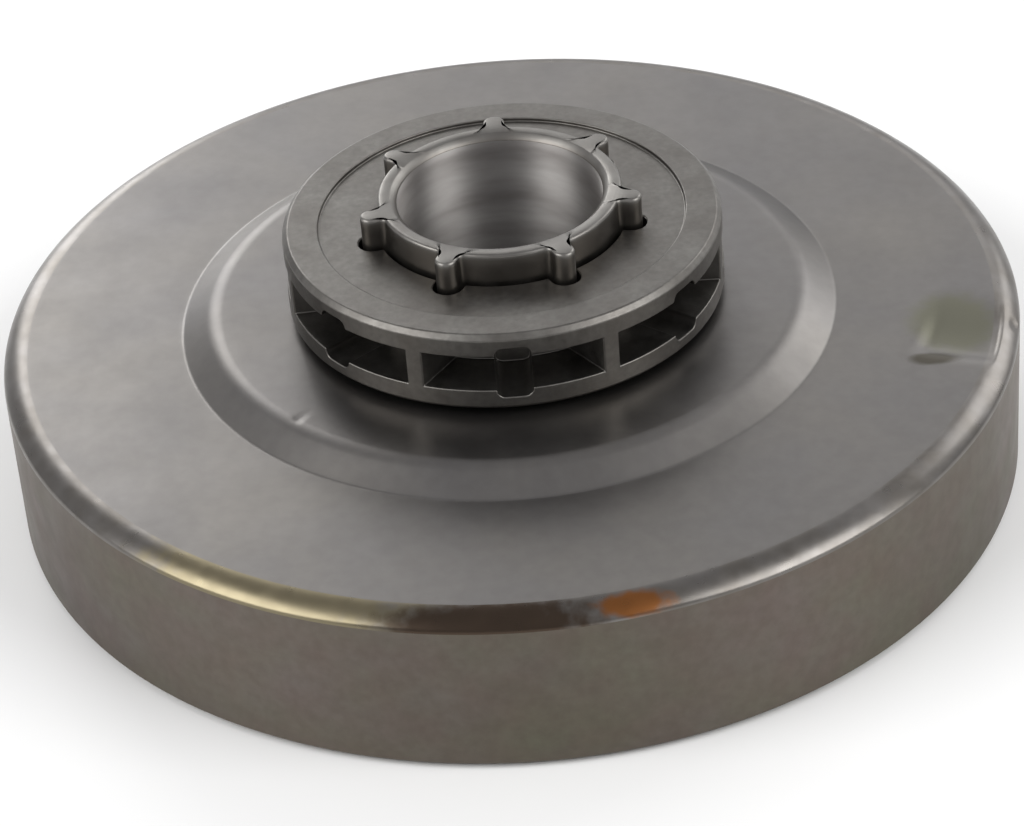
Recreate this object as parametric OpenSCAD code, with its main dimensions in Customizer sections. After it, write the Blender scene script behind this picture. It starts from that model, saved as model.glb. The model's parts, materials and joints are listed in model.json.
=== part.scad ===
// Rim-and-drum sprocket of a chainsaw: a drawn steel clutch drum, a splined hub fixed in its web,
// and a loose rim sprocket that floats on the splines.
// The drum's open edge stands on z = 0, and the shaft axis is +Z through the origin.
// One spline points along +Y, so the middle of one chain pocket points along -Y.

/* [Clutch drum] */
// Outer diameter of the drum
drum_d = 80; // [72:0.5:100]
// Height from the open edge to the outer face of the web
drum_h = 13.6; // [10:0.1:20]
// Thickness of the side wall, which the clutch shoes press on from inside
wall_t = 2.4; // [1.8:0.1:3]
// Thickness of the web
web_t = 2.4; // [1.8:0.1:3]
// Radius by which the web rolls over towards the wall
corner_r = 2.6; // [1.6:0.1:3]
// Angle at which that roll ends, in degrees
corner_turn = 45; // [35:5:60]
// Radius of the tighter edge between the roll and the turned wall
corner_edge_r = 0.5; // [0.2:0.1:0.8]
// Radius of the inner corner between wall and web
corner_in_r = 1.6; // [0.5:0.1:2.5]
// Chamfer on the outer edge of the open end
lip_c = 0.6; // [0.1:0.05:0.8]
// Chamfer on the inner edge of the open end
lip_in_c = 0.3; // [0.1:0.05:0.8]

/* [Raised boss] */
// Diameter of the boss at its foot on the web
boss_foot_d = 51.8; // [48:0.2:58]
// Rise of the boss above the web
boss_h = 1.5; // [0.8:0.1:2.2]
// Slope of the boss's conical side, in degrees
boss_slope = 30; // [26:1:34]
// Radius of the bend on the underside of the boss's edge
boss_in_r = 0.3; // [0.2:0.1:1.5]
// Radius of the tight fillet at the foot
boss_fillet_r = 0.6; // [0.3:0.1:1.2]

/* [Splined hub] */
// Diameter of the bore that the needle bearing runs in
bore_d = 16; // [14:0.1:16.6]
// Chamfer at both ends of the bore
bore_c = 0.5; // [0.2:0.05:0.7]
// Height of the hub's end above the boss's face
hub_proud = 9.3; // [8:0.1:14]
// Number of splines, and of posts and pockets in the rim
spline_n = 7; // [6:1:8]
// Diameter over the spline tips
spline_d = 22.2; // [21.4:0.1:23]
// Diameter between the splines
root_d = 18.9; // [18.5:0.1:19.6]
// Width of one spline
rib_w = 1.7; // [1.3:0.1:2.1]
// Fillet at the root of a spline
root_fillet_r = 0.45; // [0.2:0.05:0.6]
// Chamfer round the spline tips at the hub's end
tip_c = 0.3; // [0.1:0.05:0.5]
// Diameter of the flange that the rim rests on
flange_d = 27.8; // [25.6:0.1:28]
// Height of the flange above the boss's face
flange_h = 0.7; // [0.6:0.05:1.4]
// Diameter of the spigot in the web's hole
spigot_d = 22.6; // [20:0.1:24]
// Diameter of the spread collar under the web
stake_d = 25; // [24.4:0.1:27]
// Depth of the spread collar under the web
stake_h = 1.3; // [0.8:0.1:2.4]
// Chamfer round the collar's lower end
stake_c = 0.6; // [0.2:0.1:0.7]

/* [Rim sprocket] */
// Outer diameter of the two rails that the chain rides on
rim_d = 34.2; // [33.4:0.1:38]
// Thickness of the rim
rim_t = 6.7; // [6:0.1:8]
// Chamfer on the rails' outer edges
rim_c = 0.4; // [0.1:0.05:0.6]
// Diameter of the shallow recess round the splines, on both faces
recess_d = 28.6; // [28.2:0.1:30]
// Depth of that recess
recess_t = 0.3; // [0.1:0.05:0.4]
// Gap all round between the hub's splines and the rim's hole
spline_gap = 0.35; // [0.3:0.05:0.5]

/* [Chain pockets] */
// Height of a pocket between the two rails
pocket_h = 3; // [2.2:0.1:3.6]
// Diameter at the floor of the pockets
pocket_floor_d = 25.8; // [25.4:0.1:28]
// Width of a post between two pockets, at the rails
post_w = 1.3; // [0.9:0.1:2]
// Angle by which each side of a post leans outwards on its way in, in degrees
post_flank = 10.5; // [4:0.5:14]
// Width of the chip-relief notch in the middle of each pocket
notch_w = 2.75; // [2:0.05:4]
// Height of the notch, which cuts into both rails
notch_h = 4.3; // [3.8:0.1:5]
// Radius of the notch's corners
notch_r = 0.6; // [0.2:0.1:0.9]
// Diameter at the floor of the notches
notch_floor_d = 24.6; // [24.2:0.1:26]

/* [Hidden] */
$fn = 120;

// Straight steps in a quarter of a round edge
quarter_steps = 12;
// Overshoot of cuts past the faces that they open
cut = 1;

drum_r = drum_d / 2;
wall_r = drum_r - wall_t;
web_in_z = drum_h - web_t;
boss_z = drum_h + boss_h;
// The roll and the edge are two arcs that touch where the roll ends
corner_edge_x = drum_r - corner_edge_r;
corner_x = corner_edge_x - (corner_r - corner_edge_r) * sin(corner_turn);
corner_z = drum_h - corner_r;
corner_edge_z = corner_z + (corner_r - corner_edge_r) * cos(corner_turn);
// The boss's side is a cone between the round at its top and the fillet at its foot
boss_round_r = boss_in_r + web_t;
boss_arcs_r = boss_round_r + boss_fillet_r;
boss_cone = (boss_h - boss_arcs_r * (1 - cos(boss_slope))) / sin(boss_slope);
boss_foot_r = boss_foot_d / 2;
boss_face_r = boss_foot_r - boss_arcs_r * sin(boss_slope) - boss_cone * cos(boss_slope);

bore_r = bore_d / 2;
hub_z = boss_z + hub_proud;
hub_low_z = boss_z - web_t - stake_h;
root_r = root_d / 2;
spline_r = spline_d / 2;
seat_z = boss_z + flange_h;
spigot_r = spigot_d / 2;
pitch = 360 / spline_n;
first_rib = 90;

rim_r = rim_d / 2;
rim_z = seat_z - recess_t;
rim_mid_z = rim_z + rim_t / 2;
hole_r = root_r + spline_gap;
slot_r = spline_r + spline_gap;
slot_w = rib_w + 2 * spline_gap;

// Points of an arc round (x, z), from one angle to another
function arc(x, z, r, from, to) =
    let (steps = max(2, ceil(quarter_steps * abs(to - from) / 90)))
    [for (i = [0:steps]) let (a = from + (to - from) * i / steps) [x + r * cos(a), z + r * sin(a)]];

// Half section of the pressed drum, as one closed outline
drum_section = concat(
    [[spigot_r, boss_z]],
    arc(boss_face_r, boss_z - boss_round_r, boss_round_r, 90, 90 - boss_slope),
    arc(boss_foot_r, drum_h + boss_fillet_r, boss_fillet_r, 270 - boss_slope, 270),
    arc(corner_x, corner_z, corner_r, 90, 90 - corner_turn),
    arc(corner_edge_x, corner_edge_z, corner_edge_r, 90 - corner_turn, 0),
    [[drum_r, lip_c], [drum_r - lip_c, 0]],
    [[wall_r + lip_in_c, 0], [wall_r, lip_in_c]],
    arc(wall_r - corner_in_r, web_in_z - corner_in_r, corner_in_r, 0, 90),
    arc(boss_foot_r, drum_h + boss_fillet_r, boss_fillet_r + web_t, 270, 270 - boss_slope),
    arc(boss_face_r, boss_z - boss_round_r, boss_in_r, 90 - boss_slope, 90),
    [[spigot_r, boss_z - web_t]]
);

module clutch_drum() {
    color("#6e6b67")
        rotate_extrude()
            polygon(drum_section);
}

// Repeats its child at every spline, the first one along +Y
module at_each_spline() {
    for (i = [0:spline_n - 1])
        rotate(first_rib + i * pitch)
            children();
}

// A rib or a slot with a full round tip, lying along +X from the axis
module rounded_rib(tip_r, w) {
    translate([0, -w / 2])
        square([tip_r - w / 2, w]);
    translate([tip_r - w / 2, 0])
        circle(d = w);
}

// The fillet on one side of a rib: what lies between rib, root circle and fillet circle
module rib_fillet() {
    away = rib_w / 2 + root_fillet_r;
    along = sqrt(pow(root_r + root_fillet_r, 2) - pow(away, 2));
    difference() {
        polygon([[0, 0], [along, away], [along, 0]]);
        translate([along, away])
            circle(r = root_fillet_r);
    }
}

module spline_outline() {
    circle(r = root_r);
    at_each_spline() {
        rounded_rib(spline_r, rib_w);
        rib_fillet();
        mirror([0, 1])
            rib_fillet();
    }
}

// Everything of the hub that is turned: the spread collar, the spigot, the flange
// and the envelope of the splines
module hub_turned() {
    rotate_extrude()
        polygon([
            [0, hub_low_z],
            [stake_d / 2 - stake_c, hub_low_z],
            [stake_d / 2, hub_low_z + stake_c],
            [stake_d / 2, boss_z - web_t],
            [spigot_r, boss_z - web_t],
            [spigot_r, boss_z],
            [flange_d / 2, boss_z],
            [flange_d / 2, seat_z],
            [0, seat_z]
        ]);
}

module splines() {
    intersection() {
        translate([0, 0, boss_z])
            linear_extrude(hub_proud)
                spline_outline();
        union() {
            translate([0, 0, boss_z])
                cylinder(r = spline_r + cut, h = hub_proud - tip_c);
            translate([0, 0, hub_z - tip_c])
                cylinder(r1 = spline_r, r2 = spline_r - tip_c, h = tip_c);
        }
    }
}

module bearing_bore() {
    rotate_extrude()
        polygon([
            [0, hub_low_z - cut],
            [bore_r + bore_c + cut, hub_low_z - cut],
            [bore_r, hub_low_z + bore_c],
            [bore_r, hub_z - bore_c],
            [bore_r + bore_c + cut, hub_z + cut],
            [0, hub_z + cut]
        ]);
}

module splined_hub() {
    color("#8d8a85")
        difference() {
            union() {
                hub_turned();
                splines();
            }
            bearing_bore();
        }
}

module rim_ring() {
    rotate_extrude()
        polygon([
            [0, rim_z],
            [rim_r - rim_c, rim_z],
            [rim_r, rim_z + rim_c],
            [rim_r, rim_z + rim_t - rim_c],
            [rim_r - rim_c, rim_z + rim_t],
            [0, rim_z + rim_t]
        ]);
}

// The hole that slides on the splines
module spline_hole() {
    translate([0, 0, rim_z - cut])
        linear_extrude(rim_t + 2 * cut) {
            circle(r = hole_r);
            at_each_spline()
                rounded_rib(slot_r, slot_w);
        }
}

module face_recesses() {
    translate([0, 0, rim_z - cut])
        cylinder(d = recess_d, h = cut + recess_t);
    translate([0, 0, rim_z + rim_t - recess_t])
        cylinder(d = recess_d, h = cut + recess_t);
}

// Outline of the post that is left standing between two pockets, wider further in
module post_outline() {
    depth = rim_r - pocket_floor_d / 2 + cut;
    spread = depth * tan(post_flank);
    polygon([
        [rim_r - depth, -post_w / 2 - spread],
        [rim_r, -post_w / 2],
        [rim_r + 2 * cut, -post_w / 2],
        [rim_r + 2 * cut, post_w / 2],
        [rim_r, post_w / 2],
        [rim_r - depth, post_w / 2 + spread]
    ]);
}

module pockets() {
    translate([0, 0, rim_mid_z - pocket_h / 2])
        linear_extrude(pocket_h)
            difference() {
                circle(r = rim_r + cut);
                circle(d = pocket_floor_d);
                at_each_spline()
                    post_outline();
            }
}

// The notch's outline, w wide and h high with round corners, in the middle of the plane
module notch_outline() {
    square([notch_h, notch_w - 2 * notch_r], center = true);
    square([notch_h - 2 * notch_r, notch_w], center = true);
    for (x = [-1, 1], y = [-1, 1])
        translate([x * (notch_h / 2 - notch_r), y * (notch_w / 2 - notch_r)])
            circle(r = notch_r);
}

module chip_notches() {
    for (i = [0:spline_n - 1])
        rotate(first_rib + (i + 0.5) * pitch)
            translate([notch_floor_d / 2, 0, rim_mid_z])
                rotate([0, 90, 0])
                    linear_extrude(rim_r - notch_floor_d / 2 + cut)
                        notch_outline();
}

module rim_sprocket() {
    color("#7b7977")
        difference() {
            rim_ring();
            spline_hole();
            face_recesses();
            pockets();
            chip_notches();
        }
}

clutch_drum();
splined_hub();
rim_sprocket();
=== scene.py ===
"""A chainsaw's clutch drum with its splined hub and its loose rim sprocket, dressed in bare steel.

The drum stands on its open edge at z = 0 and its shaft axis is +Z. Shapes are worked out in
millimetres, and every mesh is made in metres."""
import json
import math

import bpy
import numpy as np
from mathutils import Matrix, Vector


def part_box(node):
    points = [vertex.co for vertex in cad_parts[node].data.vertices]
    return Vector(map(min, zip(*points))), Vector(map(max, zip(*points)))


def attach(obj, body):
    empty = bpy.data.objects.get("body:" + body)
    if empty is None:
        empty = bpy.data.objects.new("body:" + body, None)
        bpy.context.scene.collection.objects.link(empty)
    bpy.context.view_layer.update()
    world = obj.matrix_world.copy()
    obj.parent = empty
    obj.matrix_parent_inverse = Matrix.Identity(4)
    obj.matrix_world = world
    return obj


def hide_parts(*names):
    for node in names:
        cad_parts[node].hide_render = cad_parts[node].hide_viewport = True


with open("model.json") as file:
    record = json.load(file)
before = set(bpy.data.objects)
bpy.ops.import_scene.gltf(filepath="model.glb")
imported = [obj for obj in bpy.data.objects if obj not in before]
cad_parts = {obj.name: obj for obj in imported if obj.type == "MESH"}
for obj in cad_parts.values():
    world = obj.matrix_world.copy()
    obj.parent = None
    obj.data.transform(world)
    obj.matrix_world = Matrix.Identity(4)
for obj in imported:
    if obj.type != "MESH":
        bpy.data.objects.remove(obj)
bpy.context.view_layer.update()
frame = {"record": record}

MM = 0.001
mounts = {m["name"]: m for m in frame["record"]["mounts"]}


def in_mm(value):
    """A length of the frame, which is in metres, as millimetres rounded to a micrometre."""
    return round(value / MM, 3)


def node_sizes(name):
    """Outer radius, lowest and highest point of a round CAD node, in millimetres."""
    low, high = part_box(name)
    return in_mm(high.x), in_mm(low.z), in_mm(high.z)


# Sizes that the frame gives
drum_r, _, boss_z = node_sizes("clutch_drum")
flange_r, hub_low_z, hub_z = node_sizes("splined_hub")
rim_r, rim_low_z, rim_high_z = node_sizes("rim_sprocket")
wall_r = mounts["shoe_wall"]["dims"]["r_mm"]
bore_r = mounts["bearing_bore"]["dims"]["r_mm"]

# Pressed drum
web_z = 13.6
sheet_t = drum_r - wall_r
corner_r = 2.6
corner_turn = 45
corner_edge_r = 0.5
corner_in_r = 1.6
lip_c = 0.6
lip_in_c = 0.3
boss_foot_r = 25.9
boss_slope = 30
boss_in_r = 0.3
boss_fillet_r = 0.6
spigot_r = 11.3

# Turned hub
spline_n = 7
spline_r = 11.1
root_r = 9.45
rib_w = 1.7
root_fillet_r = 0.45
bore_c = 0.5
hub_edge_r = 0.25
seat_z = 15.8
stake_r = 12.5
stake_c = 0.6

# Rim sprocket
rim_c = 0.4
recess_r = 14.3
recess_t = 0.3
spline_gap = 0.35
pocket_h = 3.0
pocket_floor_r = 12.9
post_w = 1.3
post_flank = math.radians(10.5)
notch_w = 2.75
notch_h = 4.3
notch_r = 0.6
notch_floor_r = 12.3

half_pitch = math.pi / spline_n


# Points and meshes

def arc(x, z, r, start, end, steps):
    """Points (x, z) of an arc from one angle to another, in degrees."""
    turn = np.radians(np.linspace(start, end, steps + 1))
    return [(x + r * math.cos(a), z + r * math.sin(a)) for a in turn]


def line(a, b, steps):
    """Points of a straight stretch, without its last one."""
    return [tuple(np.array(a) + (np.array(b) - np.array(a)) * i / steps) for i in range(steps)]


def mesh_object(name, points, faces, materials=(), zones=None):
    """A smooth-shaded object at the origin from points in millimetres, with its faces turned outwards."""
    mesh = bpy.data.meshes.new(name)
    mesh.from_pydata((np.asarray(points) * MM).tolist(), [], [list(f) for f in faces])
    for material in materials:
        mesh.materials.append(material)
    if zones is not None:
        mesh.polygons.foreach_set("material_index", np.asarray(zones, np.int32))
    mesh.shade_smooth()
    mesh.validate()
    made = bpy.data.objects.new(name, mesh)
    bpy.context.scene.collection.objects.link(made)
    return made


def grid_faces(rows, columns, wrap_rows, wrap_columns):
    """Four-sided faces over a grid of points, closed on itself where asked."""
    faces = []
    for i in range(rows if wrap_rows else rows - 1):
        for j in range(columns if wrap_columns else columns - 1):
            k, l = (i + 1) % rows, (j + 1) % columns
            faces.append((i * columns + j, i * columns + l, k * columns + l, k * columns + j))
    return faces


def flattened(name, piece):
    """The piece with its modifiers worked out, as a plain mesh object of the given name."""
    graph = bpy.context.evaluated_depsgraph_get()
    mesh = bpy.data.meshes.new_from_object(piece.evaluated_get(graph), depsgraph=graph)
    old = piece.data
    piece.modifiers.clear()
    piece.data = mesh
    bpy.data.meshes.remove(old)
    piece.name = mesh.name = name
    return piece


def node(tree, kind, inputs=None, out=0, **settings):
    """Adds one node, with its settings and its inputs, each a value or a socket that feeds it, and
    gives back one of its outputs."""
    made = tree.nodes.new(kind)
    for name, value in settings.items():
        setattr(made, name, value)
    for key, value in (inputs or {}).items():
        if isinstance(value, bpy.types.NodeSocket):
            tree.links.new(value, made.inputs[key])
        else:
            made.inputs[key].default_value = value
    return made.outputs[out] if made.outputs else made


def repeat_tree():
    """Geometry nodes that set one sector of a ring round the Z axis, join the copies into one skin
    and give the faces near the axis a finish of their own."""
    tree = bpy.data.node_groups.new("sectors_round_shaft", "GeometryNodeTree")
    for name, kind in (("Sector", "Geometry"), ("Count", "Int"), ("Weld Distance", "Float"),
                       ("Finish", "Material"), ("Bore Finish", "Material"), ("Bore Reach", "Float")):
        tree.interface.new_socket(name, in_out="INPUT", socket_type="NodeSocket" + kind)
    tree.interface.new_socket("Ring", in_out="OUTPUT", socket_type="NodeSocketGeometry")
    given = tree.nodes.new("NodeGroupInput").outputs
    places = node(tree, "GeometryNodeMeshLine", {"Count": given["Count"], "Offset": (0, 0, 0)})
    step = node(tree, "ShaderNodeMath", {0: 2 * math.pi, 1: given["Count"]}, operation="DIVIDE")
    turn = node(tree, "ShaderNodeMath", {0: node(tree, "GeometryNodeInputIndex"), 1: step},
                operation="MULTIPLY")
    about_z = node(tree, "ShaderNodeCombineXYZ", {"Z": turn})
    copies = node(tree, "GeometryNodeInstanceOnPoints", {
        "Points": places, "Instance": given["Sector"], "Rotation": about_z})
    real = node(tree, "GeometryNodeRealizeInstances", {0: copies})
    joined = node(tree, "GeometryNodeMergeByDistance", {"Geometry": real, "Distance": given["Weld Distance"]})
    smooth = node(tree, "GeometryNodeSetShadeSmooth", {0: joined, "Shade Smooth": True})
    painted = node(tree, "GeometryNodeSetMaterial", {"Geometry": smooth, "Material": given["Finish"]})
    flat = node(tree, "ShaderNodeVectorMath", {0: node(tree, "GeometryNodeInputPosition"), 1: (1, 1, 0)},
                operation="MULTIPLY")
    from_axis = node(tree, "ShaderNodeVectorMath", {0: flat}, out="Value", operation="LENGTH")
    near = node(tree, "ShaderNodeMath", {0: from_axis, 1: given["Bore Reach"]}, operation="LESS_THAN")
    bored = node(tree, "GeometryNodeSetMaterial", {
        "Geometry": painted, "Selection": near, "Material": given["Bore Finish"]})
    node(tree, "NodeGroupOutput", {0: bored})
    return tree


def set_round_shaft(piece, tree, finish, bore_finish, bore_reach):
    """Gives a sector the modifier that repeats it round the shaft. The reach is in millimetres."""
    modifier = piece.modifiers.new("round_shaft", "NODES")
    modifier.node_group = tree
    values = {"Count": spline_n, "Weld Distance": 0.004 * MM, "Finish": finish,
              "Bore Finish": bore_finish, "Bore Reach": bore_reach * MM}
    for socket in tree.interface.items_tree:
        if socket.name in values:
            modifier[socket.identifier] = values[socket.name]


def keep_flats_flat(piece):
    """Weights the shading by face area, so that flat faces stay flat up to their rounded edges."""
    weighted = piece.modifiers.new("flats", "WEIGHTED_NORMAL")
    weighted.mode = "FACE_AREA"
    weighted.keep_sharp = True


# Clutch drum

def boss_side(offset, steps):
    """The boss's edge round, conical side and foot fillet, on the upper skin or on one offset below it."""
    round_r = boss_in_r + sheet_t
    turn = math.radians(boss_slope)
    cone = (boss_z - web_z - (round_r + boss_fillet_r) * (1 - math.cos(turn))) / math.sin(turn)
    face_r = boss_foot_r - (round_r + boss_fillet_r) * math.sin(turn) - cone * math.cos(turn)
    top = arc(face_r, boss_z - round_r, round_r - offset, 90, 90 - boss_slope, steps)
    foot = arc(boss_foot_r, web_z + boss_fillet_r, boss_fillet_r + offset, 270 - boss_slope, 270, steps)
    return top[:-1] + line(top[-1], foot[0], 5) + foot


def corner_roll():
    """The web's roll over towards the wall and the tighter edge that ends it."""
    turn = math.radians(corner_turn)
    edge_x = drum_r - corner_edge_r
    x = edge_x - (corner_r - corner_edge_r) * math.sin(turn)
    edge_z = web_z - corner_r + (corner_r - corner_edge_r) * math.cos(turn)
    roll = arc(x, web_z - corner_r, corner_r, 90, 90 - corner_turn, 12)
    return roll[:-1] + arc(edge_x, edge_z, corner_edge_r, 90 - corner_turn, 0, 8)


def drum_section():
    """The closed half section of the drum, from the hub's hole out over the top and back inside."""
    under_z = web_z - sheet_t
    upper = boss_side(0, 10)
    lower = boss_side(sheet_t, 8)
    corner = corner_roll()
    soft = 0.08
    section = line((spigot_r, boss_z), upper[0], 14) + upper[:-1]
    section += line(upper[-1], corner[0], 34) + corner[:-1]
    section += line(corner[-1], (drum_r, lip_c + soft), 12)
    section += [(drum_r, lip_c + soft), (drum_r - soft / 3, lip_c), (drum_r - lip_c, soft / 3)]
    section += [(drum_r - lip_c - soft, 0), (wall_r + lip_in_c + soft, 0)]
    section += [(wall_r + lip_in_c, soft / 3), (wall_r + soft / 3, lip_in_c)]
    section += line((wall_r, lip_in_c + soft), (wall_r, under_z - corner_in_r), 8)
    section += arc(wall_r - corner_in_r, under_z - corner_in_r, corner_in_r, 0, 90, 8)[:-1]
    section += line((wall_r - corner_in_r, under_z), lower[-1], 8)
    section += lower[::-1][:-1]
    section += line(lower[0], (spigot_r, boss_z - sheet_t), 6)
    section.append((spigot_r, boss_z - sheet_t))
    return np.array(section)


def section_zones(section):
    """For each stretch of the section: 0 for sheet, 1 for the corner, 2 for the wall, 3 for the inside."""
    corner = corner_roll()
    zones = []
    for a, b in zip(section, np.roll(section, -1, 0)):
        r, z = (a + b) / 2
        if r > corner[0][0] and z > corner[-1][1]:
            zones.append(1)
        elif z < web_z - sheet_t - corner_in_r and r > wall_r - 0.01:
            zones.append(2 if r > drum_r - sheet_t / 2 else 3)
        else:
            zones.append(2 if r > drum_r - 0.01 else 0)
    return zones


def smooth_step(low, high, x):
    """Rises from 0 to 1 between low and high."""
    t = np.clip((x - low) / (high - low), 0, 1)
    return t * t * (3 - 2 * t)


def scoop_depth(x, y):
    """Depth of the shallow worn flat near the drum's edge: steep at its front end, easing out behind."""
    middle = np.array([33.6, -10.9])
    along = np.array([-0.35, -0.94])
    across = np.array([0.94, -0.35])
    u = (x - middle[0]) * along[0] + (y - middle[1]) * along[1]
    v = (x - middle[0]) * across[0] + (y - middle[1]) * across[1]
    front = 1 - smooth_step(-0.3, 1.7, u)
    back = smooth_step(-8.5, -0.5, u)
    side = smooth_step(-3.4, -1.6, v) * (1 - smooth_step(2.2, 4.6, v))
    return 0.32 * front * back * side


def dimple(x, y, z, at, r, depth):
    """Depth of a small round dent at a point."""
    away = np.sqrt((x - at[0]) ** 2 + (y - at[1]) ** 2 + (z - at[2]) ** 2)
    return depth * (1 - smooth_step(0, r, away))


def at_azimuth(r, degrees, z):
    """A point at a radius and height, at an angle from the front (-Y), positive towards +X."""
    a = math.radians(degrees)
    return r * math.sin(a), -r * math.cos(a), z


def make_drum(materials):
    columns = 480
    section = drum_section()
    turn = np.linspace(0, 2 * math.pi, columns, endpoint=False)
    r = section[:, 0][:, None] * np.ones(columns)
    z = section[:, 1][:, None] * np.ones(columns)
    x, y = r * np.cos(turn), r * np.sin(turn)
    on_top = (z > web_z - 0.05) & (r > boss_foot_r)
    z = z - np.where(on_top, scoop_depth(x, y), 0)
    points = np.stack([x, y, z], 2)
    nicks = [
        (at_azimuth(drum_r - 0.25, 79, web_z - 0.35), 0.75, 0.22),
        (at_azimuth(drum_r - 0.25, -66, web_z - 0.3), 0.6, 0.12),
        (at_azimuth(22.6, -46.9, boss_z - 0.02), 0.55, 0.10),
    ]
    for at, size, depth in nicks:
        inward = -np.array([at[0], at[1], 0]) / math.hypot(at[0], at[1]) + np.array([0, 0, -1])
        inward /= np.linalg.norm(inward)
        points += dimple(x, y, z, at, size, depth)[:, :, None] * inward
    faces = grid_faces(len(section), columns, True, True)
    zones = [zone for row in section_zones(section) for zone in [row] * columns]
    drum = mesh_object("drum_shell", points.reshape(-1, 3), faces, materials, zones)
    keep_flats_flat(drum)
    return flattened("drum_shell", drum)


# Splined hub

def half_spline_outline():
    """Half a spline and half a gap, from the spline's tip round to the middle of the gap, as (x, y)
    with the spline along +X, and the outward direction at each point."""
    away = rib_w / 2 + root_fillet_r
    along = math.sqrt((root_r + root_fillet_r) ** 2 - away ** 2)
    foot = math.degrees(math.atan2(away, along))
    arcs = [
        (spline_r - rib_w / 2, 0, rib_w / 2, 0, 90, 7, 1),
        (along, away, root_fillet_r, 270, 180 + foot, 5, -1),
        (0, 0, root_r, foot, math.degrees(half_pitch), 7, 1),
    ]
    points, outward = [], []
    for x, y, r, start, end, steps, side in arcs:
        new = arc(x, y, r, start, end, steps)[1 if side > 0 and points else 0:]
        points += new
        outward += [(side * (px - x) / r, side * (py - y) / r) for px, py in new]
    return np.array(points), np.array(outward)


def hub_rows(outline, outward):
    """Rows of points of half a sector of the hub, once round its section."""
    even = np.linspace(0, half_pitch, len(outline))

    def ring(r, z):
        return np.stack([r * np.cos(even), r * np.sin(even), np.full(len(even), z)], 1)

    def spline_row(inset, z):
        flat = outline - outward * inset
        return np.column_stack([flat, np.full(len(flat), z)])

    edge = 0.12
    rows = [ring(r, z) for r, z in
            arc(bore_r + bore_c + edge, hub_low_z + edge, edge, 270, 225, 2)
            + line((bore_r + bore_c, hub_low_z + edge / 2), (bore_r, hub_low_z + bore_c), 2)
            + line((bore_r, hub_low_z + bore_c), (bore_r, hub_z - bore_c), 14)
            + [(bore_r, hub_z - bore_c), (bore_r + 0.06, hub_z - bore_c + 0.08)]
            + [(bore_r + bore_c - 0.08, hub_z - 0.06), (bore_r + bore_c + 0.04, hub_z)]]
    rows += [spline_row(hub_edge_r * (1 - math.sin(a)), hub_z - hub_edge_r * (1 - math.cos(a)))
             for a in np.radians(np.linspace(0, 90, 5))]
    rows += [spline_row(0, z) for z, _ in line((hub_z - hub_edge_r, 0), (seat_z + 0.15, 0), 8)[1:]]
    rows += [spline_row(0, seat_z)]
    turned = line((spline_r + 0.4, seat_z), (flange_r - 0.15, seat_z), 3)
    turned += arc(flange_r - 0.15, seat_z - 0.15, 0.15, 90, 0, 3)
    turned += [(flange_r, boss_z), (spigot_r, boss_z), (spigot_r, boss_z - sheet_t)]
    turned += [(stake_r, boss_z - sheet_t), (stake_r, hub_low_z + stake_c + 0.1)]
    turned += arc(stake_r - stake_c, hub_low_z + stake_c, stake_c, 0, -90, 5)
    return rows + [ring(r, z) for r, z in turned]


def make_hub(tree, material, bore_material):
    outline, outward = half_spline_outline()
    half = np.array(hub_rows(outline, outward))
    other = half[:, ::-1] * np.array([1, -1, 1])
    sector = np.concatenate([other, half[:, 1:]], 1)
    rows, columns = sector.shape[:2]
    faces = grid_faces(rows, columns, True, False)
    turn = Matrix.Rotation(math.pi / 2, 3, "Z")
    points = sector.reshape(-1, 3) @ np.array(turn).T
    hub = mesh_object("hub_body", points, faces)
    set_round_shaft(hub, tree, material, bore_material, bore_r + 0.02)
    keep_flats_flat(hub)
    return flattened("hub_body", hub)


# Rim sprocket

def rim_lines():
    """Where the lines of the rim's block model run: radii outwards, heights from the middle up."""
    radii = [None, notch_floor_r, pocket_floor_r, recess_r, rim_r - rim_c, rim_r]
    half = (rim_high_z - rim_low_z) / 2
    heights = [0, pocket_h / 2, pocket_h / 2 + 0.33, notch_h / 2, half - rim_c, half - recess_t, half]
    return radii, heights


def hole_outline():
    """The spline hole from the middle of a pocket round to the middle of a slot, as (x, y)."""
    slot_r = spline_r + spline_gap
    slot_half = rib_w / 2 + spline_gap
    hole_r = root_r + spline_gap
    mouth = half_pitch - math.asin(slot_half / hole_r)
    open_arc = [(hole_r * math.cos(a), hole_r * math.sin(a)) for a in np.array([0, 0.2, 0.4, 0.6, 0.8, 1]) * mouth]
    tip = arc(slot_r - slot_half, 0, slot_half, -90, 0, 4)
    c, s = math.cos(half_pitch), math.sin(half_pitch)
    return open_arc + [(x * c - y * s, x * s + y * c) for x, y in tip]


def rim_points(radii, heights):
    """Points of an eighth-like block of the rim: half a pocket wide and half the rim high."""
    hole = hole_outline()
    notch_x = [0, notch_w / 2 - notch_r, notch_w / 2 - notch_r / 2, notch_w / 2]
    last = len(hole) - 1
    points = np.zeros((len(radii), len(hole), len(heights), 3))
    for i, r in enumerate(radii):
        for j in range(len(hole)):
            if r is None:
                x, y = hole[j]
            else:
                post_half = post_w / 2 + (rim_r - r) * math.tan(post_flank)
                flank = half_pitch - math.asin(post_half / r)
                notch_edge = math.asin(notch_x[3] / r)
                share = (j - 3) / (last - 4)
                angle = (math.asin(notch_x[j] / r) if j < 3 else half_pitch if j == last
                         else notch_edge + (flank - notch_edge) * share)
                x, y = r * math.cos(angle), r * math.sin(angle)
            for k, z in enumerate(heights):
                points[i, j, k] = x, y, z
    round_notch_corner(points, radii)
    chamfer_outer_edge(points, heights)
    return points


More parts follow.
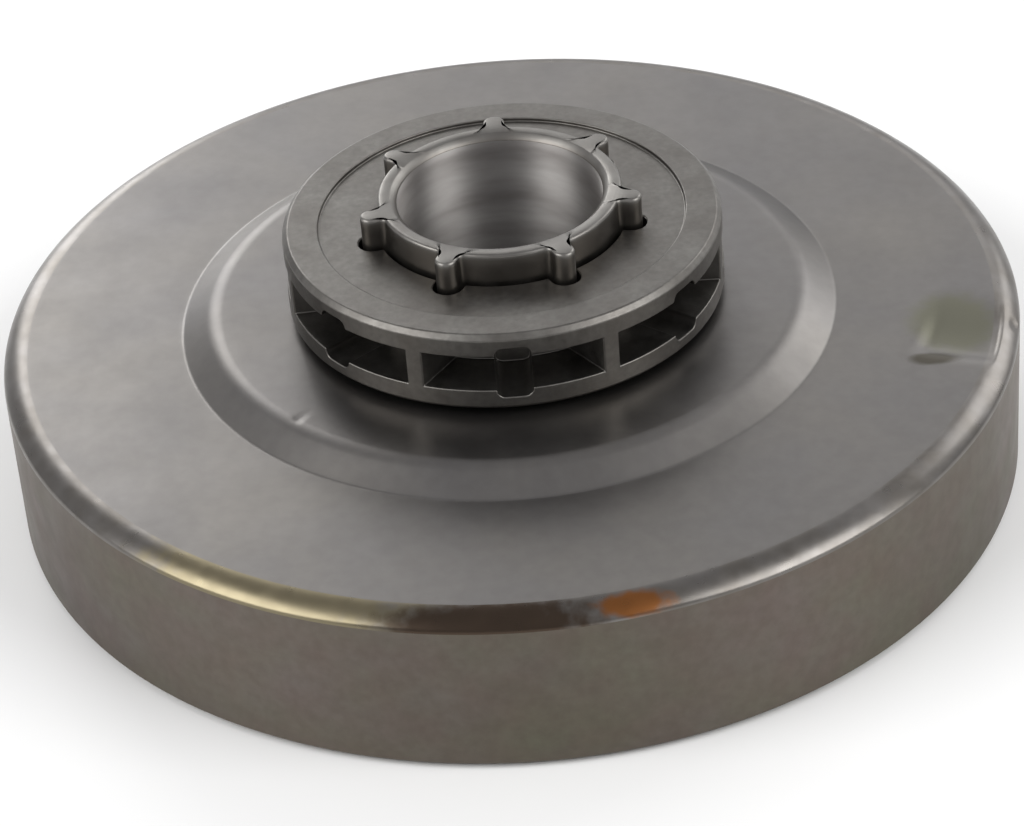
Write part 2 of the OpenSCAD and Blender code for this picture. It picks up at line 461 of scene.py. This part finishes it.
def round_notch_corner(points, radii):
    """Moves the points round the notch's corner on to its arc."""
    corner = arc(notch_w / 2 - notch_r, notch_h / 2 - notch_r, notch_r, 0, 90, 4)
    places = {(3, 2): corner[1], (3, 3): corner[2], (2, 3): corner[3]}
    for i, r in enumerate(radii):
        if r is None:
            continue
        for (j, k), (across, z) in places.items():
            a = math.asin(across / r)
            points[i, j, k] = r * math.cos(a), r * math.sin(a), z


def chamfer_outer_edge(points, heights):
    """Draws the outermost line in along the rail's chamfer, down to the line next to it at the top."""
    for k in (5, 6):
        share = (heights[k] - heights[4]) / rim_c
        points[5, :, k, :2] = (1 - share) * points[5, :, 4, :2] + share * points[4, :, k, :2]


def rim_block_faces(points):
    """Faces between solid and open cells of the block, leaving out its planes of symmetry."""
    cells = np.array(points.shape[:3]) - 1

    def solid(i, j, k):
        j, k = min(max(j, 0), cells[1] - 1), max(k, 0)
        if i < 0 or i >= cells[0] or k >= cells[2]:
            return False
        in_recess = i < 3 and k >= 5
        in_pocket = i >= 2 and k < 1 and j < cells[1] - 1
        in_notch = i >= 1 and k < 3 and j < 3
        return not (in_recess or in_pocket or in_notch)

    def number(i, j, k):
        return (i * points.shape[1] + j) * points.shape[2] + k

    faces = []
    for i in range(-1, cells[0] + 1):
        for j in range(-1, cells[1] + 1):
            for k in range(-1, cells[2] + 1):
                here = solid(i, j, k)
                if 0 <= j < cells[1] and 0 <= k < cells[2] and i < cells[0] and here != solid(i + 1, j, k):
                    ring = [(i + 1, j, k), (i + 1, j + 1, k), (i + 1, j + 1, k + 1), (i + 1, j, k + 1)]
                    faces.append([number(*p) for p in (ring if here else ring[::-1])])
                if 0 <= i < cells[0] and 0 <= k < cells[2] and 0 <= j < cells[1] - 1 and here != solid(i, j + 1, k):
                    ring = [(i, j + 1, k), (i, j + 1, k + 1), (i + 1, j + 1, k + 1), (i + 1, j + 1, k)]
                    faces.append([number(*p) for p in (ring if here else ring[::-1])])
                if 0 <= i < cells[0] and 0 <= j < cells[1] and 0 <= k < cells[2] and here != solid(i, j, k + 1):
                    ring = [(i, j, k + 1), (i + 1, j, k + 1), (i + 1, j + 1, k + 1), (i, j + 1, k + 1)]
                    faces.append([number(*p) for p in (ring if here else ring[::-1])])
    return faces


def make_rim(tree, material):
    radii, heights = rim_lines()
    block = rim_points(radii, heights)
    faces = rim_block_faces(block)
    flat = block.reshape(-1, 3)
    turn = -math.pi / 2
    c, s = math.cos(turn), math.sin(turn)
    middle_z = (rim_high_z + rim_low_z) / 2
    points, all_faces = [], []
    for side in (1, -1):
        for up in (1, -1):
            start = sum(len(p) for p in points)
            part = flat * np.array([1, side, up])
            part = np.stack([part[:, 0] * c - part[:, 1] * s, part[:, 0] * s + part[:, 1] * c,
                             part[:, 2] + middle_z], 1)
            points.append(part)
            order = 1 if side * up > 0 else -1
            all_faces += [[start + n for n in face[::order]] for face in faces]
    rim = mesh_object("rim_ring", np.concatenate(points), all_faces)
    set_round_shaft(rim, tree, material, material, bore_r)
    edges = rim.modifiers.new("edges", "BEVEL")
    edges.width = 0.11 * MM
    edges.segments = 2
    edges.limit_method = "ANGLE"
    edges.angle_limit = math.radians(32)
    edges.use_clamp_overlap = False
    edges.harden_normals = True
    return flattened("rim_ring", rim)


# Finishes

def linear(hex_code):
    """An sRGB colour such as 7a7876 as the linear values that a shader takes."""
    parts = [int(hex_code[i:i + 2], 16) / 255 for i in (0, 2, 4)]
    return tuple(p / 12.92 if p <= 0.04045 else ((p + 0.055) / 1.055) ** 2.4 for p in parts) + (1.0,)


def bare_steel(name, anisotropy=0.0):
    """A metal shader with its node tree. Grooves that run round the shaft stretch its reflections."""
    material = bpy.data.materials.new(name)
    material.use_nodes = True
    tree = material.node_tree
    shader = tree.nodes["Principled BSDF"]
    shader.inputs["Metallic"].default_value = 1.0
    if anisotropy:
        shader.inputs["Anisotropic"].default_value = anisotropy
        shader.inputs["Anisotropic Rotation"].default_value = 0.25
        round_shaft = node(tree, "ShaderNodeTangent", direction_type="RADIAL", axis="Z")
        tree.links.new(round_shaft, shader.inputs["Tangent"])
    return material, tree, shader


def place_in_mm(tree):
    """The point's place in millimetres, its distance from the shaft and its height."""
    at = node(tree, "ShaderNodeTexCoord", out="Object")
    place = node(tree, "ShaderNodeVectorMath", {0: at, "Scale": 1 / MM}, operation="SCALE")
    flat = node(tree, "ShaderNodeVectorMath", {0: place, 1: (1, 1, 0)}, operation="MULTIPLY")
    radius = node(tree, "ShaderNodeVectorMath", {0: flat}, out="Value", operation="LENGTH")
    height = node(tree, "ShaderNodeSeparateXYZ", {0: place}, out="Z")
    return place, radius, height


def clouds(tree, place, size, detail=2.0, stretch=(1, 1, 1)):
    """Soft random patches about one size across, in millimetres, longer where the stretch is above 1."""
    scale = tuple(1 / (size * k) for k in stretch)
    small = node(tree, "ShaderNodeVectorMath", {0: place, 1: scale}, operation="MULTIPLY")
    return node(tree, "ShaderNodeTexNoise", {"Vector": small, "Scale": 1.0, "Detail": detail})


def stain(tree, place, at, size, ragged=0.35):
    """1 inside an egg-shaped patch and 0 outside it, with a ragged soft border."""
    away = node(tree, "ShaderNodeVectorMath", {0: place, 1: at}, operation="SUBTRACT")
    near = node(tree, "ShaderNodeVectorMath", {0: away, 1: size}, operation="DIVIDE")
    reach = node(tree, "ShaderNodeVectorMath", {0: near}, out="Value", operation="LENGTH")
    rough = clouds(tree, place, 1.2, 3)
    uneven = node(tree, "ShaderNodeMath", {0: rough, 1: ragged * 2, 2: reach}, operation="MULTIPLY_ADD")
    return node(tree, "ShaderNodeMapRange", {0: uneven, 1: 1.0 + ragged, 2: 0.5 + ragged},
                interpolation_type="SMOOTHSTEP")


def tinted(tree, color, share, tint):
    """The colour turned into a tint by a share that a socket gives."""
    return node(tree, "ShaderNodeMix", {0: share, 6: color, 7: tint}, out=2, data_type="RGBA")


def between(tree, share, low, high):
    """A share of 0 to 1 drawn to the values between low and high."""
    return node(tree, "ShaderNodeMapRange", {0: share, 1: 0.3, 2: 0.7, 3: low, 4: high})


def pressed_sheet_steel():
    """Cold-rolled sheet as it leaves the press: satin and cool grey, with cloudy stains from the drawing oil
    and a faint tooth. Over the dent near the edge an olive patch is painted darker as painted reflection,
    with painted shade along the dent's steep front slope."""
    material, tree, shader = bare_steel("pressed_sheet_steel")
    place, radius, height = place_in_mm(tree)
    color = tinted(tree, linear("706e6d"), between(tree, clouds(tree, place, 14, 3), 0, 1), linear("777470"))
    color = tinted(tree, color, between(tree, clouds(tree, place, 1.1, 2), 0, 0.22), linear("5f5c5a"))
    # Painted reflection: an olive, slightly darker patch painted over the dent near the edge, for the way its
    # dished surface reflects the room.
    dent_painted_reflection = stain(tree, place, (34.2, -7.4, web_z), (4.2, 5.0, 2), 0.2)
    color = tinted(tree, color, dent_painted_reflection, linear("6c6b5e"))
    # Painted shade: a dark crescent painted along the dent's steep front slope.
    dent_slope_painted_shade = stain(tree, place, (32.0, -12.0, web_z), (2.4, 1.1, 1), 0.15)
    color = tinted(tree, color, dent_slope_painted_shade, linear("4c4840"))
    tree.links.new(color, shader.inputs["Base Color"])
    tree.links.new(between(tree, clouds(tree, place, 6, 3), 0.34, 0.41), shader.inputs["Roughness"])
    tooth = clouds(tree, place, 0.35, 2)
    bump = node(tree, "ShaderNodeBump", {"Strength": 0.3, "Distance": 0.012 * MM, "Height": tooth})
    tree.links.new(bump, shader.inputs["Normal"])
    return material


def burnished_corner_steel():
    """The drawn corner, rubbed bright by the press and by handling, with a straw heat tint, a brown tint
    darkened into painted shade along its front, and one spot of orange rust."""
    material, tree, shader = bare_steel("burnished_corner_steel", 0.4)
    place, radius, height = place_in_mm(tree)
    color = tinted(tree, linear("767370"), between(tree, clouds(tree, place, 2.5, 3), 0, 1), linear("6a6661"))
    straw = stain(tree, place, (-20, -34, web_z - 0.5), (18, 9, 3))
    color = tinted(tree, color, straw, linear("7c745f"))
    # Painted shade with a brown tint: a dark band along the front of the corner, where the corner reflects the dark
    # space overhead.
    brown = stain(tree, place, (-4, -39.6, web_z - 0.5), (11, 3, 2))
    color = tinted(tree, color, brown, linear("4a3f36"))
    rust = stain(tree, place, at_azimuth(39.4, 10.5, web_z - 0.35), (3.4, 1.6, 1.0))
    color = tinted(tree, color, rust, linear("8a5a34"))
    tree.links.new(color, shader.inputs["Base Color"])
    tree.links.new(between(tree, clouds(tree, place, 1.5, 2), 0.27, 0.35), shader.inputs["Roughness"])
    uneven = clouds(tree, place, 3.5, 2, (1, 1, 0.5))
    bump = node(tree, "ShaderNodeBump", {"Strength": 0.4, "Distance": 0.06 * MM, "Height": uneven})
    tree.links.new(bump, shader.inputs["Normal"])
    return material


def turned_wall_steel():
    """The side wall, skimmed on a lathe and browned by heat and old oil: fine rings round the shaft
    and cloudy brown and olive patches."""
    material, tree, shader = bare_steel("turned_wall_steel", 0.65)
    place, radius, height = place_in_mm(tree)
    color = tinted(tree, linear("6c6560"), between(tree, clouds(tree, place, 9, 3, (1.3, 1.3, 0.8)), 0, 1),
                   linear("69675a"))
    color = tinted(tree, color, between(tree, clouds(tree, place, 4, 3), 0, 0.5), linear("685a54"))
    color = tinted(tree, color, between(tree, clouds(tree, place, 0.9, 3), 0, 0.35), linear("575049"))
    tree.links.new(color, shader.inputs["Base Color"])
    tree.links.new(between(tree, clouds(tree, place, 3, 2), 0.42, 0.5), shader.inputs["Roughness"])
    # The rings are 0.25 mm apart, a little coarser than real ones, so that they still show
    rings = clouds(tree, place, 0.25, 2, (60, 60, 1))
    bump = node(tree, "ShaderNodeBump", {"Strength": 0.35, "Distance": 0.012 * MM, "Height": rings})
    tree.links.new(bump, shader.inputs["Normal"])
    return material


def shoe_worn_steel():
    """The inside wall, which the clutch shoes rub: bright scored rings with blue-brown heat bands."""
    material, tree, shader = bare_steel("shoe_worn_steel", 0.8)
    place, radius, height = place_in_mm(tree)
    bands = clouds(tree, place, 1.6, 3, (30, 30, 1))
    color = tinted(tree, linear("8a8782"), between(tree, bands, 0, 0.8), linear("5c5a60"))
    tree.links.new(color, shader.inputs["Base Color"])
    shader.inputs["Roughness"].default_value = 0.36
    rings = clouds(tree, place, 0.3, 3, (80, 80, 1))
    bump = node(tree, "ShaderNodeBump", {"Strength": 0.5, "Distance": 0.02 * MM, "Height": rings})
    tree.links.new(bump, shader.inputs["Normal"])
    return material


def turned_hub_steel():
    """The hub's turned and broached outside: light satin steel with faint rings on its end face."""
    material, tree, shader = bare_steel("turned_hub_steel")
    place, radius, height = place_in_mm(tree)
    color = tinted(tree, linear("7c7a76"), between(tree, clouds(tree, place, 2.2, 3), 0, 1), linear("706d69"))
    # Painted shade: the ribs' sides and everything else more than half a millimetre below the end face are darker,
    # fading in from a quarter millimetre below it.
    low = node(tree, "ShaderNodeMapRange", {0: height, 1: hub_z - 0.25, 2: hub_z - 0.5})
    color = tinted(tree, color, low, linear("68645f"))
    tree.links.new(color, shader.inputs["Base Color"])
    tree.links.new(between(tree, clouds(tree, place, 1.5, 2), 0.33, 0.42), shader.inputs["Roughness"])
    rings = node(tree, "ShaderNodeTexNoise", {"W": radius, "Scale": 4.0, "Detail": 2.0}, noise_dimensions="1D")
    bump = node(tree, "ShaderNodeBump", {"Strength": 0.3, "Distance": 0.012 * MM, "Height": rings})
    tree.links.new(bump, shader.inputs["Normal"])
    return material


def ground_bore_steel():
    """The bore that the needle bearing runs in: fine rings round it, which draw the light out into
    upright bands."""
    material, tree, shader = bare_steel("ground_bore_steel", 0.9)
    place, radius, height = place_in_mm(tree)
    worn = clouds(tree, place, 2.0, 3, (4, 4, 1))
    color = tinted(tree, linear("b0adaa"), between(tree, worn, 0, 1), linear("8f8b88"))
    tree.links.new(color, shader.inputs["Base Color"])
    shader.inputs["Roughness"].default_value = 0.55
    rings = clouds(tree, place, 0.3, 2, (80, 80, 1))
    bump = node(tree, "ShaderNodeBump", {"Strength": 0.5, "Distance": 0.03 * MM, "Height": rings})
    tree.links.new(bump, shader.inputs["Normal"])
    return material


def sintered_rim_steel():
    """Pressed and sintered powder steel, tumbled: a dull even grey with a fine pitted tooth."""
    material, tree, shader = bare_steel("sintered_rim_steel")
    place, radius, height = place_in_mm(tree)
    color = tinted(tree, linear("72706c"), between(tree, clouds(tree, place, 3.0, 3), 0, 1), linear("66635f"))
    color = tinted(tree, color, between(tree, clouds(tree, place, 0.5, 2), 0, 0.4), linear("54514e"))
    tree.links.new(color, shader.inputs["Base Color"])
    tree.links.new(between(tree, clouds(tree, place, 1.2, 2), 0.36, 0.46), shader.inputs["Roughness"])
    tooth = clouds(tree, place, 0.22, 2)
    bump = node(tree, "ShaderNodeBump", {"Strength": 0.4, "Distance": 0.02 * MM, "Height": tooth})
    tree.links.new(bump, shader.inputs["Normal"])
    return material


# Stage, light and camera

def make_floor():
    half = 1.5 / MM
    floor = mesh_object("floor", [(-half, -half, 0), (half, -half, 0), (half, half, 0), (-half, half, 0)],
                        [(0, 1, 2, 3)])
    material = bpy.data.materials.new("pale_floor")
    material.use_nodes = True
    shader = material.node_tree.nodes["Principled BSDF"]
    shader.inputs["Base Color"].default_value = linear("e9e9e8")
    shader.inputs["Roughness"].default_value = 0.9
    shader.inputs["Specular IOR Level"].default_value = 0.1
    floor.data.materials.append(material)


def soft_light(name, azimuth, elevation, wide, high, radiance):
    """A soft panel 1 m away that faces the object. Azimuth 0 is in front (-Y) and 90 is at +X, and
    its width and height are the angles that it covers, in degrees."""
    distance = 1.0
    lamp = bpy.data.lights.new(name, "AREA")
    lamp.shape = "RECTANGLE"
    lamp.size = 2 * distance * math.tan(math.radians(wide / 2))
    lamp.size_y = 2 * distance * math.tan(math.radians(high / 2))
    lamp.energy = radiance * math.pi * lamp.size * lamp.size_y
    made = bpy.data.objects.new(name, lamp)
    a, e = math.radians(azimuth), math.radians(elevation)
    out = Vector((math.sin(a) * math.cos(e), -math.cos(a) * math.cos(e), math.sin(e)))
    made.location = out * distance
    made.rotation_mode = "QUATERNION"
    made.rotation_quaternion = out.to_track_quat("Z", "Y")
    bpy.context.scene.collection.objects.link(made)


def make_light():
    """Dim surroundings, a panel at each side and two low ones behind, with nothing bright overhead."""
    world = bpy.data.worlds.new("room")
    bpy.context.scene.world = world
    world.use_nodes = True
    background = world.node_tree.nodes["Background"]
    background.inputs["Color"].default_value = (0.50, 0.50, 0.515, 1)
    background.inputs["Strength"].default_value = 1.0
    soft_light("left_panel", -66, 36, 40, 36, 4.6)
    soft_light("right_panel", 62, 36, 36, 36, 4.6)
    soft_light("back_left_panel", -160, 24, 18, 40, 3.2)
    soft_light("back_right_panel", 134, 30, 30, 28, 3.0)
    soft_light("back_panel", 182, 26, 44, 24, 1.1)


def make_camera():
    """The photograph's view: a long lens in front of and above the object, leaning a little."""
    focal_px, width_px, sensor = 3700.0, 1024.0, 36.0
    elevation, roll = math.radians(35.186), math.radians(4.647)
    distance, right_shift, up_shift = 299.72, 0.62106, -2.57462
    fwd = Vector((0, math.cos(elevation), -math.sin(elevation)))
    up = Vector((0, math.sin(elevation), math.cos(elevation)))
    right = Vector((1, 0, 0))
    cam_right = math.cos(roll) * right - math.sin(roll) * up
    cam_up = math.sin(roll) * right + math.cos(roll) * up
    lens = bpy.data.cameras.new("camera")
    lens.lens = sensor * focal_px / width_px
    lens.sensor_width = sensor
    lens.clip_start, lens.clip_end = 0.01, 20
    camera = bpy.data.objects.new("camera", lens)
    camera.location = -(cam_right * right_shift + cam_up * up_shift + fwd * distance) * MM
    turn = Matrix((cam_right, cam_up, -fwd)).transposed()
    camera.rotation_mode = "QUATERNION"
    camera.rotation_quaternion = turn.to_quaternion()
    bpy.context.scene.collection.objects.link(camera)
    bpy.context.scene.camera = camera


make_camera()
bpy.context.scene.view_settings.view_transform = "Standard"
make_light()
make_floor()
tree = repeat_tree()
drum = make_drum([pressed_sheet_steel(), burnished_corner_steel(), turned_wall_steel(), shoe_worn_steel()])
hub = make_hub(tree, turned_hub_steel(), ground_bore_steel())
rim = make_rim(tree, sintered_rim_steel())
for piece, body, cad_node, slot in (
        (drum, "drum", "clutch_drum", "drum_steel"),
        (hub, "drum", "splined_hub", "hub_steel"),
        (rim, "rim", "rim_sprocket", "rim_steel")):
    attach(piece, body)
    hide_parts(cad_node)
